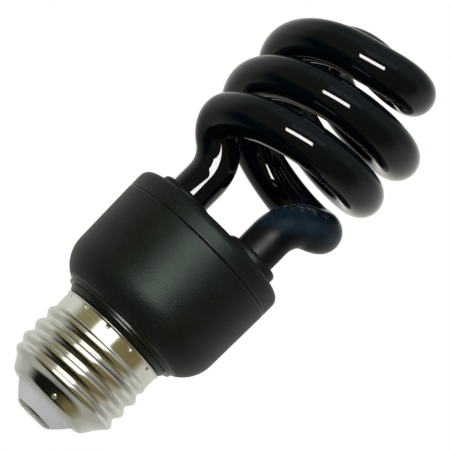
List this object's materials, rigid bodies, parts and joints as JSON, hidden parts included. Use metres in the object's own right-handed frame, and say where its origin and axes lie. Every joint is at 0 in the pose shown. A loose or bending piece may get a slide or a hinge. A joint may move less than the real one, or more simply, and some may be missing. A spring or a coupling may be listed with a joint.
{
  "type": "spiral black light lamp",
  "caption": "Spiral fluorescent black-light lamp: dark glass coil on a round black ballast housing with a plated screw base, giving ultraviolet light in a common lamp holder.",
  "frame": {"origin": "tip of the centre contact, on the lamp axis", "axes": "+Z along the lamp axis from the contact to the crown of the coil, +X through the leg that stands on the right in the picture"},
  "size_m": [0.0434, 0.0468, 0.1111],
  "materials": {
    "black_glass": "gloss",
    "case_plastic": "fine moulded texture",
    "nickel_plate": "polished nickel plate",
    "contact_metal": "tinned",
    "insulator": "moulded, light grey",
    "cement": "dull",
    "board": "phenolic board",
    "tinned_wire": "tinned",
    "copper_wire": "enamelled copper",
    "ferrite": "sintered",
    "bobbin": "moulded",
    "can_sleeve": "shrunk sleeve",
    "film_coat": "dipped",
    "drum_sleeve": "shrunk sleeve",
    "transistor_case": "moulded",
    "diode_case": "moulded",
    "fuse_coat": "lacquer",
    "resistor_coat": "lacquer",
    "diac_glass": "painted glass"
  },
  "bodies": {
    "root": {"centre_contact": "contact_metal", "base_insulator": "insulator", "screw_shell": "nickel_plate", "ballast_housing": "case_plastic", "tube_cover": "case_plastic", "tube_cement": "cement", "spiral_tube": "black_glass", "circuit_board": "board", "wire_posts": "tinned_wire", "filament_leads": "tinned_wire", "contact_lead": "tinned_wire", "shell_lead": "tinned_wire", "smoothing_capacitor": "can_sleeve", "choke_core": "ferrite", "choke_bobbin": "bobbin", "choke_winding": "copper_wire", "toroid_core": "ferrite", "toroid_windings": "copper_wire", "switching_transistors": "transistor_case", "film_capacitor": "film_coat", "filter_inductor": "drum_sleeve", "rectifier_diodes": "diode_case", "fuse_resistor": "fuse_coat", "start_resistor": "resistor_coat", "trigger_diac": "diac_glass"}
  },
  "joints": []
}
